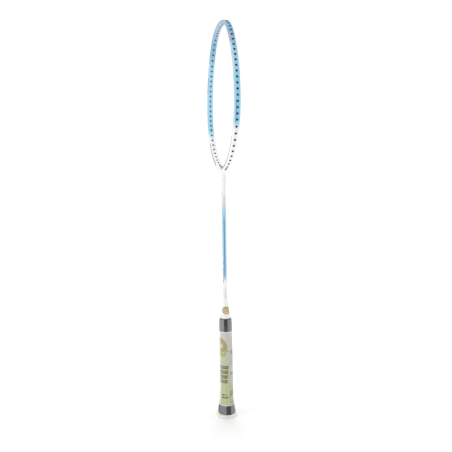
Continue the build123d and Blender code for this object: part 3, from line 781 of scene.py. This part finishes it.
# ---- grommets
def grommet_profile(proud):
    """(radius, distance out of the middle line) round a grommet's wall, from its bore's inner mouth."""
    seat = RAIL_THICK / 2 - GROOVE_DEEP + SLIP
    top = seat + FLANGE_THICK
    end = -RAIL_THICK / 2 - proud
    mouth = 0.16 * MM
    edge = 0.20 * MM
    profile = arc_points((BORE_RADIUS + mouth, end + mouth), mouth, 180, 270, 3)
    profile += arc_points((BARREL_RADIUS - mouth, end + mouth), mouth, 270, 360, 3)
    profile += [(BARREL_RADIUS, seat), (FLANGE_RADIUS - 0.02 * MM, seat)]
    profile += arc_points((FLANGE_RADIUS - edge, top - edge), edge, 0, 90, 3)
    profile += arc_points((BORE_RADIUS + mouth, top - mouth), mouth, 90, 180, 3)
    return profile


def build_grommets():
    """Four moulded strips' worth of flanged grommets, each turned about its hole's axis."""
    strips = {
        "top": GROMMET_PLACES[:TOP_STRIP] + OTHER_HALF[:TOP_STRIP],
        "right": GROMMET_PLACES[TOP_STRIP:-THROAT_STRIP],
        "left": OTHER_HALF[TOP_STRIP:-THROAT_STRIP],
        "throat": GROMMET_PLACES[-THROAT_STRIP:] + OTHER_HALF[-THROAT_STRIP:],
    }
    material = grommet_plastic()
    for name, places in strips.items():
        profile = grommet_profile(TOP_BARREL_PROUD if name == "top" else BARREL_PROUD)
        points, faces = [], []
        for place in places:
            middle, out, _, _ = rail_frame(place)
            ring_points, ring_faces = loft(turned(profile, 24, middle, Vector((0, 1, 0)), out), closed=True)
            faces += [tuple(len(points) + i for i in face) for face in ring_faces]
            points += ring_points
        new_piece(f"grommet_strip_{name}", (points, faces), material, "grommet", f"grommets_{name}")


# ---- throat and shaft
def build_throat():
    """The lacquered fairing: a slim collar on the shaft that swells and runs out along the hoop."""
    centre_z = rail_frame(HALF_LENGTH)[0].z + THROAT_RADIUS
    outer = THROAT_RADIUS + RAIL_THICK / 2
    steps = 72
    stations = (
        # height below the hoop's outer side, half width, half depth
        (21.2, 3.75, 3.75), (20.9, 3.98, 3.98), (20.3, 4.10, 4.10), (17.0, 4.12, 4.12), (13.5, 4.16, 4.14),
        (10.5, 4.26, 4.16), (8.0, 4.48, 4.18), (6.0, 4.85, 4.20), (4.4, 5.40, 4.22), (3.1, 6.20, 4.25),
        (2.1, 7.30, 4.25), (1.35, 8.70, 4.22), (0.8, 10.3, 4.15), (0.35, 12.2, 4.05), (-0.35, 13.4, 3.90),
        (-1.5, 13.6, 3.70),
    )
    angles = [2 * pi * i / steps for i in range(steps)]
    rings = []
    for drop, half_wide, half_deep in stations:
        spread = [(half_wide * MM * cos(angle), half_deep * MM * sin(angle)) for angle in angles]
        rings.append([Vector((x, y, centre_z - sqrt(outer**2 - x**2) - drop * MM)) for x, y in spread])
    new_piece("throat_fairing", loft(rings), throat_paint(), "throat_paint", "throat_fairing")


def build_shaft():
    """The lacquered tube, with its bore and softened ends."""
    ease, steps = 0.25 * MM, 40
    bottom = [
        (SHAFT_BORE, SHAFT_BOTTOM + ease), (SHAFT_BORE + ease, SHAFT_BOTTOM),
        (SHAFT_RADIUS - ease, SHAFT_BOTTOM), (SHAFT_RADIUS, SHAFT_BOTTOM + ease),
    ]
    top = [(radius, SHAFT_BOTTOM + SHAFT_TOP - height) for radius, height in reversed(bottom)]
    rise = SHAFT_TOP - SHAFT_BOTTOM - 2 * ease
    levels = [SHAFT_BOTTOM + ease + rise * i / steps for i in range(1, steps)]
    outside = bottom + [(SHAFT_RADIUS, level) for level in levels] + top
    inside = [(SHAFT_BORE, level) for level in reversed(levels)]
    new_piece("shaft", loft(turned(outside + inside, 64), closed=True), shaft_paint(), "shaft_paint", "shaft")


# ---- handle sections
CORNER_STEPS = 4
FLAT_STEPS = 6
RING_COUNT = 8 * (CORNER_STEPS + FLAT_STEPS)


def octagon_ring(half_x, half_y, flat_x, corner, height):
    """A ring of points round an octagon with rounded corners, from the middle of its +X flat."""
    slant = half_y - flat_x
    flat_y = half_x - slant
    corners = [
        (half_x, flat_x), (flat_y, half_y), (-flat_y, half_y), (-half_x, flat_x),
        (-half_x, -flat_x), (-flat_y, -half_y), (flat_y, -half_y), (half_x, -flat_x),
    ]
    inset = corner / cos(pi / 8)
    rounded = []
    for i, (x, y) in enumerate(corners):
        middle = pi / 8 + i * pi / 4
        centre = (x - inset * cos(middle), y - inset * sin(middle))
        rounded.append(arc_points(centre, corner, 45 * i, 45 * (i + 1), CORNER_STEPS))
    outline = []
    for i, arc in enumerate(rounded):
        start, end = Vector(arc[-1]), Vector(rounded[(i + 1) % len(rounded)][0])
        outline += arc + [tuple(start.lerp(end, k / FLAT_STEPS)) for k in range(1, FLAT_STEPS)]
    first = RING_COUNT - FLAT_STEPS // 2
    outline = outline[first:] + outline[:first]
    return [Vector((x, y, height)) for x, y in outline]


def core_ring(grow, height, corner=None):
    """The core's octagon grown evenly by an offset."""
    flat_x = CORE_FLAT_X + grow * SLANT_SHARE
    return octagon_ring(CORE_HALF_X + grow, CORE_HALF_Y + grow, flat_x, corner or CORE_EASE + grow, height)


def flare(height):
    """How far the flare above the butt stands out from the core's octagon."""
    share = min(max((height - FLARE_FROM) / (FLARE_TO - FLARE_FROM), 0.0), 1.0)
    return FLARE_OFFSET * (1 + cos(pi * share)) / 2


def blend(start, end, share):
    return start + (end - start) * share


def handle_ring(height, grow):
    """The handle's outline at a height: flared below, octagonal, then turning round at the cone.

    The flare widens the slants, and the flats keep their width.
    """
    share = min(max(0.0, (height - ROUND_FROM) / (ROUND_TO - ROUND_FROM)), 1.0)
    half_x = blend(CORE_HALF_X, ROUND_RADIUS, share) + flare(height) + grow
    half_y = blend(CORE_HALF_Y, ROUND_RADIUS, share) + flare(height) + grow
    flat_x = blend(CORE_FLAT_X, ROUND_RADIUS * SLANT_SHARE, share) + grow * SLANT_SHARE
    corner = blend(CORE_EASE, ROUND_RADIUS * ROUND_CORNER, share) + grow
    return octagon_ring(half_x, half_y, flat_x, corner, height)


def outward(point):
    """The level direction from the handle's axis to a point."""
    return Vector((point.x, point.y, 0)).normalized()


def circle_ring(radius, height):
    """A circle with its points at the same angles as the handle's rings."""
    return [outward(point) * radius + Vector((0, 0, height)) for point in core_ring(0.0, height)]


def ring_around(ring):
    """Each point's distance along its ring from the middle of the +X flat: + towards +Y, - towards -Y."""
    lengths = [0.0]
    for i in range(len(ring)):
        lengths.append(lengths[-1] + (ring[(i + 1) % len(ring)] - ring[i]).length)
    total = lengths[-1]
    return [length if length <= total / 2 else length - total for length in lengths[:-1]]


def heights(low, high, step):
    """Even heights from low to high, about a step apart."""
    count = max(1, round((high - low) / step))
    return [low + (high - low) * i / count for i in range(count + 1)]


# ---- grip and its tape
WRAP_PITCH = 21.0 * MM
WRAP_LIP = 0.16 * MM
EDGE_LENGTH = 2.45 * MM
LAP_THICK = 0.12 * MM
LAPPED = range(42, 56)  # the places in a ring that the tape's free end covers


def wrap_lift(height, turn):
    """How far the grip stands out at a height and a share of a turn, for the overlaps of its strip."""
    phase = (height / WRAP_PITCH + turn) % 1.0
    rise = min(phase / 0.07, 1.0)
    fall = min((1.0 - phase) / 0.50, 1.0)
    return WRAP_LIP * rise * fall - WRAP_LIP


def edge_drop(height):
    """How much thinner the grip and its tape are near their top edge."""
    share = max(0.0, (height - GRIP_TOP) / EDGE_LENGTH + 1.0)
    return GRIP_EDGE * share**1.6


def build_grip():
    """The wrapped polyurethane strip: its turns overlap in a faint spiral, and its ends are rounded."""
    rings = []
    for height in heights(GRIP_BOTTOM, GRIP_TOP, 0.9 * MM):
        near_end = min((height - GRIP_BOTTOM) / (0.9 * MM), 1.0)
        ring = handle_ring(height, GRIP_OUTER - 0.45 * MM * (1 - near_end) ** 2 - edge_drop(height))
        rings.append([p + outward(p) * wrap_lift(height, i / RING_COUNT) for i, p in enumerate(ring)])
    inner = [handle_ring(height, SLIP) for height in heights(GRIP_BOTTOM, GRIP_TOP, 3.0 * MM)]
    shape = loft(rings + inner[::-1], closed=True)
    new_piece("base_grip", shape, grip_polyurethane(), "grip", "base_grip", sharp=55.0)


def build_tape():
    """The vinyl tape that finishes the grip's top, with its free end lapped over part of a turn."""
    rings, inner = [], []
    for height in heights(TAPE_BOTTOM, GRIP_TOP, 0.6 * MM):
        grow = GRIP_OUTER + SLIP - edge_drop(height)
        ring = handle_ring(height, grow + TAPE_THICK)
        for i in LAPPED:
            ring[i] += outward(ring[i]) * LAP_THICK
        rings.append(ring)
        inner.append(handle_ring(height, grow - SLIP / 2))
    shape = loft(rings + inner[::-1], closed=True)
    new_piece("finishing_tape", shape, tape_vinyl(), "tape", "finishing_tape", sharp=50.0)


# ---- film sleeve
def film_wrinkle(point):
    """A loose film's small puckers, deepest at its two ends and where it bags out near the bottom."""
    end = min(point.z - FILM_BOTTOM, FILM_TOP - point.z)
    near_end = max(0.0, 1.0 - end / (9.0 * MM))
    fold = noise.noise(Vector((point.x * 260, point.y * 260, point.z * 60)))
    bag = max(0.0, 1.0 - abs(point.z - 37.0 * MM) / (11.0 * MM)) ** 2
    front = max(0.0, -point.y / (12.0 * MM)) ** 2
    return (0.05 + 0.16 * near_end) * MM * fold + 0.55 * MM * bag * front


def build_film():
    """The printed shrink film round the grip, and the clear seam where its edges overlap."""
    rings, around = [], []
    for height in heights(FILM_BOTTOM, FILM_TOP, 1.0 * MM):
        ring = handle_ring(height, GRIP_OUTER + SLIP + FILM_THICK)
        around += ring_around(ring)
        rings.append([p + outward(p) * film_wrinkle(p) for p in ring])
    for ring in rings[::-1]:
        inside = [p - outward(p) * FILM_THICK * 0.8 for p in ring]
        around += ring_around(inside)
        rings.append(inside)
    shape, attributes = loft(rings, closed=True), {"around": around}
    new_piece("film_sleeve", shape, printed_film(), "film", "film_sleeve", attributes=attributes)
    half_wide, steps = 3.0 * MM, 10
    loops = []
    for height in heights(FILM_BOTTOM, FILM_TOP, 1.5 * MM):
        middle = handle_ring(height, GRIP_OUTER + SLIP + FILM_THICK)[RING_COUNT // 2]
        ripple = 0.35 * MM * noise.noise(Vector((0, 3.0, height * 90)))
        across = [half_wide * (2 * i / steps - 1) + ripple for i in range(steps + 1)]
        top = [Vector((middle.x - FILM_THICK - 2 * SLIP, y, height)) for y in across]
        under = [Vector((middle.x - 2 * SLIP, y, height)) for y in reversed(across)]
        loops.append(under + top)
    new_piece("film_seam", loft(loops), clear_film(), "film_clear", "film_seam")


# ---- cone and its badges
CONE_KNOTS = [(ROUND_TO, CONE_LIP_RADIUS), (CONE_MID_HEIGHT, CONE_MID_RADIUS), (CONE_TOP, CONE_TOP_RADIUS)]
CONE_START_SLOPE, CONE_END_SLOPE = -0.08, -0.07


def cone_radius(height):
    """The cone's outer radius: a clamped cubic spline through its three knots."""
    (h0, r0), (h1, r1), (h2, r2) = CONE_KNOTS
    lower, upper = h1 - h0, h2 - h1
    pull = 3 * ((r1 - r0) / lower**2 + (r2 - r1) / upper**2)
    bend = CONE_START_SLOPE / lower + CONE_END_SLOPE / upper
    middle_slope = (pull - bend) / (2 / lower + 2 / upper)
    if height <= h1:
        base, start, end, length, slopes = h0, r0, r1, lower, (CONE_START_SLOPE, middle_slope)
    else:
        base, start, end, length, slopes = h1, r1, r2, upper, (middle_slope, CONE_END_SLOPE)
    share = min(max((height - base) / length, 0.0), 1.0)
    swell = length * share * (1 - share) * (slopes[0] * (1 - share) - slopes[1] * share)
    return blend(start, end, share**2 * (3 - 2 * share)) + swell


def build_cone():
    """The white cone: an octagonal skirt under the grip, a rolled lip and a long taper to the shaft."""
    spigot, cavity_top = 7.25 * MM, 168.05 * MM
    bore = SHAFT_RADIUS + SLIP
    ease = 0.35 * MM
    rings = [circle_ring(spigot, CONE_BOTTOM), handle_ring(CONE_BOTTOM, 0.0)]
    skirt = heights(CONE_BOTTOM + 1 * MM, ROUND_TO - 0.3 * MM, 2 * MM)
    rings += [handle_ring(height, 0.0) for height in skirt]
    lip = arc_points((CONE_LIP_RADIUS - 0.25 * MM, ROUND_TO + 0.25 * MM), 0.25 * MM, -90, 0, 3)
    rings += [circle_ring(radius, height) for radius, height in lip]
    for height in heights(ROUND_TO + 0.8 * MM, CONE_TOP - ease, 1.0 * MM):
        rings.append(circle_ring(cone_radius(height), height))
    top = arc_points((CONE_TOP_RADIUS - ease + 0.03 * MM, CONE_TOP - ease), ease, 20, 90, 3)
    rings += [circle_ring(radius, height) for radius, height in top]
    rings += [circle_ring(bore, height) for height in (CONE_TOP, CONE_TOP - 1 * MM, cavity_top)]
    rings += [circle_ring(spigot, cavity_top)]
    new_piece("cone_cap", loft(rings, closed=True), cone_plastic(), "cone", "cone_cap", sharp=35.0)


BADGE_MIDDLE = 186.2 * MM
BADGE_HALF_TALL = 6.3 * MM
BADGE_HALF_WIDE = 7.3 * MM
BADGE_WIDEST = -0.11  # the height of its widest place, as a share of half its height


def badge_outline(count):
    """A domed top over a shield's point: (share across, share up) round the badge."""
    outline = []
    for i in range(count):
        turn = 2 * pi * i / count
        if sin(turn) >= 0:
            across = cos(turn) * (1 - 0.04 * sin(turn) ** 2)
            up = BADGE_WIDEST + (1 - BADGE_WIDEST) * sin(turn)
        else:
            across = cos(turn) * (1 - 0.20 * sin(turn) ** 2)
            up = BADGE_WIDEST + (1 + BADGE_WIDEST) * sin(turn)
        outline.append((across, up))
    return outline


def build_cone_badges():
    """A raised metal shield with a rolled rim on each side of the cone, bent to the cone's curve."""
    levels = (
        # share of the outline, stand off the cone
        (0.50, 0.05), (1.00, 0.05), (1.00, 0.22), (0.985, 0.30), (0.95, 0.35), (0.91, 0.35), (0.88, 0.30),
        (0.85, 0.24), (0.70, 0.27), (0.45, 0.31), (0.20, 0.33),
    )
    count = 48
    outline = badge_outline(count)
    for name, side in (("right", 1), ("left", -1)):
        rings, rim, tall = [], [], []
        for share, stand in levels:
            ring = []
            for across, up in outline:
                height = BADGE_MIDDLE + up * share * BADGE_HALF_TALL
                radius = cone_radius(height)
                angle = across * share * BADGE_HALF_WIDE / radius
                reach = radius + stand * MM
                ring.append(Vector((side * reach * cos(angle), side * reach * sin(angle), height)))
                rim.append(share)
                tall.append(up * share)
            rings.append(ring)
        attributes = {"rim": rim, "height": tall}
        material = badge_gold(f"badge_gold_{name}")
        node = f"cone_badge_{name}"
        new_piece(node, loft(rings), material, "emblem", node, attributes=attributes, sharp=50.0)


# ---- butt cap and its badge
def build_butt_cap():
    """The flared cap: a rim with rolled edges, a sloping ledge, a skirt under the grip and a recess."""
    ease = 0.3 * MM
    rings = [circle_ring(RECESS_RADIUS * share, RECESS_DEEP) for share in (0.3, 1.0)]
    rings += [circle_ring(RECESS_RADIUS, ease), circle_ring(RECESS_RADIUS + 0.1 * MM, 0.09 * MM)]
    rings.append(circle_ring(RECESS_RADIUS + ease, 0.0))
    inset = RIM_EDGE
    rim = arc_points((RIM_OFFSET - inset, inset), inset, -90, 0, 6)
    rim += [(RIM_OFFSET, height) for height in heights(inset + 0.4 * MM, RIM_HEIGHT - inset, 0.5 * MM)]
    rim += arc_points((RIM_OFFSET - inset, RIM_HEIGHT - inset), inset, 8, 82, 6)
    rings += [core_ring(grow, height, RIM_CORNER - RIM_OFFSET + grow) for grow, height in rim]
    ledge_from = (RIM_OFFSET - inset * 1.1, RIM_HEIGHT + 0.03 * MM, RIM_CORNER - inset * 1.1)
    ledge_to = (LEDGE_OFFSET, LEDGE_HEIGHT, CORE_EASE + LEDGE_OFFSET)
    for share in (0.1, 0.4, 0.7, 0.95):
        grow, height, corner = (blend(a, b, share) for a, b in zip(ledge_from, ledge_to))
        rings.append(core_ring(grow, height - 0.18 * MM * sin(pi * share), corner))
    rings.append(handle_ring(LEDGE_HEIGHT, 0.15 * MM))
    skirt = heights(LEDGE_HEIGHT + 0.4 * MM, SKIRT_TOP - ease, 2 * MM)
    rings += [handle_ring(height, 0.0) for height in skirt]
    rings += [handle_ring(SKIRT_TOP, -ease), core_ring(SLIP, SKIRT_TOP), core_ring(SLIP, POCKET_BOTTOM)]
    rings.append(circle_ring(CORE_FLAT_X, POCKET_BOTTOM))
    new_piece("butt_cap", loft(rings), butt_plastic(), "butt", "butt_cap", sharp=35.0)


def build_butt_badge():
    """A round foil badge in the butt's recess, with a pressed ring and a bevelled edge."""
    low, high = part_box("butt_badge")
    radius, thick = high.x, high.z - low.z
    profile = [
        (0.25, 0.0), (0.58, 0.0), (0.61, 0.10), (0.63, 0.13), (0.75, 0.13), (0.77, 0.10), (0.80, 0.0),
        (0.955, 0.0), (0.985, 0.05), (1.0, 0.14), (1.0, 1.0), (0.25, 1.0),
    ]
    rings = turned([(share * radius, low.z + up * thick) for share, up in profile], 64)
    shape = loft([ring[::-1] for ring in rings])
    new_piece("butt_badge", shape, badge_silver(), "butt_emblem", "butt_badge", sharp=30.0)


# ---- the racket
build_hoop()
build_grommets()
build_throat()
build_shaft()
build_grip()
build_tape()
build_film()
build_cone()
build_cone_badges()
build_butt_cap()
build_butt_badge()

KEPT_NODES = {
    "t_joint": metal("t_joint_alloy", (0.62, 0.62, 0.64), 0.32),
    "handle_core": core_wood(),
    "butt_cap_staples": metal("staple_steel", (0.55, 0.54, 0.52), 0.35),
    "grip_tack": metal("tack_steel", (0.58, 0.56, 0.52), 0.30),
}
for name, material in KEPT_NODES.items():
    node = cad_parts[name]
    for slot in node.material_slots:
        slot.material = material


# ---- floor, light and camera
def floor_with_painted_glow():
    """Matt white paper with a painted glow, which is dimmer near the handle as a painted shadow round its
    foot.
    """
    n = Nodes("floor_with_painted_glow")
    n.set(Base_Color=n.mix(n.noise(3.0, 2.0), (0.70, 0.70, 0.70), (0.695, 0.695, 0.695)))
    n.set(Roughness=0.7, Specular_IOR_Level=0.1, Emission_Color=(1.0, 1.0, 1.0))
    # painted glow: GLOW_NEAR within 0.1 m of the handle, rising to GLOW_FAR past 0.6 m; the dip is a painted
    # shadow
    n.set(Emission_Strength=n.span(n.length(n.x, n.y), 0.10, 0.60, GLOW_NEAR, GLOW_FAR))
    return n.material


def build_floor():
    half = 40.0
    mesh = bpy.data.meshes.new("floor")
    corners = [(-half, -half, 0), (half, -half, 0), (half, half, 0), (-half, half, 0)]
    mesh.from_pydata(corners, [], [(0, 1, 2, 3)])
    mesh.materials.append(floor_with_painted_glow())
    floor = placed("floor", mesh)


def build_world():
    """White behind the racket, and dimmer as a source of light so that shapes keep their shading."""
    world = bpy.data.worlds.new("studio")
    world.use_nodes = True
    tree = world.node_tree
    background = tree.nodes["Background"]
    background.inputs["Color"].default_value = (1.0, 1.0, 1.0, 1.0)
    seen = tree.nodes.new("ShaderNodeLightPath").outputs["Is Camera Ray"]
    strength = tree.nodes.new("ShaderNodeMapRange")
    tree.links.new(seen, strength.inputs["Value"])
    strength.inputs["To Min"].default_value = WORLD_LIGHT
    strength.inputs["To Max"].default_value = 1.02
    tree.links.new(strength.outputs["Result"], background.inputs["Strength"])
    bpy.context.scene.world = world


def soft_box(name, place, target, wide, tall, power, glossy=True):
    """A rectangular light at a place, facing a target, that the camera doesn't see."""
    light = bpy.data.lights.new(name, "AREA")
    light.shape = "RECTANGLE"
    light.size, light.size_y, light.energy = wide, tall, power
    lamp = placed(name, light)
    lamp.location = place
    lamp.rotation_euler = (Vector(target) - Vector(place)).to_track_quat("-Z", "Y").to_euler()
    lamp.visible_camera = False
    lamp.visible_glossy = glossy


def around_handle(bearing, distance, height):
    """A point at a bearing from +X towards +Y, in degrees."""
    return distance * cos(radians(bearing)), distance * sin(radians(bearing)), height


WORLD_LIGHT = 0.75
# the floor's painted glow, weaker near the handle as a painted shadow round its foot
GLOW_NEAR, GLOW_FAR = 0.20, 0.50
CAMERA_BEARING = radians(-13.43)
CAMERA_DISTANCE = 0.9716
CAMERA_HEIGHT = 0.4003
CAMERA_LENS = 45.34
CAMERA_PITCH, CAMERA_YAW, CAMERA_ROLL = radians(-4.07), radians(0.19), radians(-0.82)


def turned_pair(a, b, angle):
    """Two directions at right angles, turned in their plane by an angle from the first to the second."""
    return a * cos(angle) + b * sin(angle), b * cos(angle) - a * sin(angle)


def build_camera():
    """Looks at the racket nearly edge on, a little from its front side."""
    away = Vector((cos(CAMERA_BEARING), sin(CAMERA_BEARING), 0))
    ahead, right, up = -away, Vector((-away.y, away.x, 0)), Vector((0, 0, 1))
    ahead, right = turned_pair(ahead, right, CAMERA_YAW)
    ahead, up = turned_pair(ahead, up, CAMERA_PITCH)
    right, up = turned_pair(right, up, CAMERA_ROLL)
    lens = bpy.data.cameras.new("camera")
    lens.lens = CAMERA_LENS
    lens.sensor_width = 36.0
    lens.clip_start = 0.01
    camera = placed("camera", lens)
    turn = Matrix((right, up, -ahead)).transposed().to_4x4()
    place = away * CAMERA_DISTANCE + Vector((0, 0, CAMERA_HEIGHT))
    camera.matrix_world = Matrix.Translation(place) @ turn
    bpy.context.scene.camera = camera


build_floor()
build_world()
soft_box("left_box", around_handle(-77.0, 0.60, 0.32), (0, 0, 0.30), 0.30, 0.60, 0.7)
soft_box("right_box", around_handle(103.0, 0.60, 0.32), (0, 0, 0.30), 0.30, 0.60, 0.35)
soft_box("back_box", around_handle(168.0, 0.90, 1.70), (0, 0, 0.15), 0.80, 0.80, 11.0, glossy=False)
soft_box("top_box", around_handle(-13.0, 0.35, 1.60), (0, 0, 0.50), 0.50, 0.50, 4.0, glossy=False)
build_camera()
bpy.context.scene.view_settings.view_transform = "Standard"
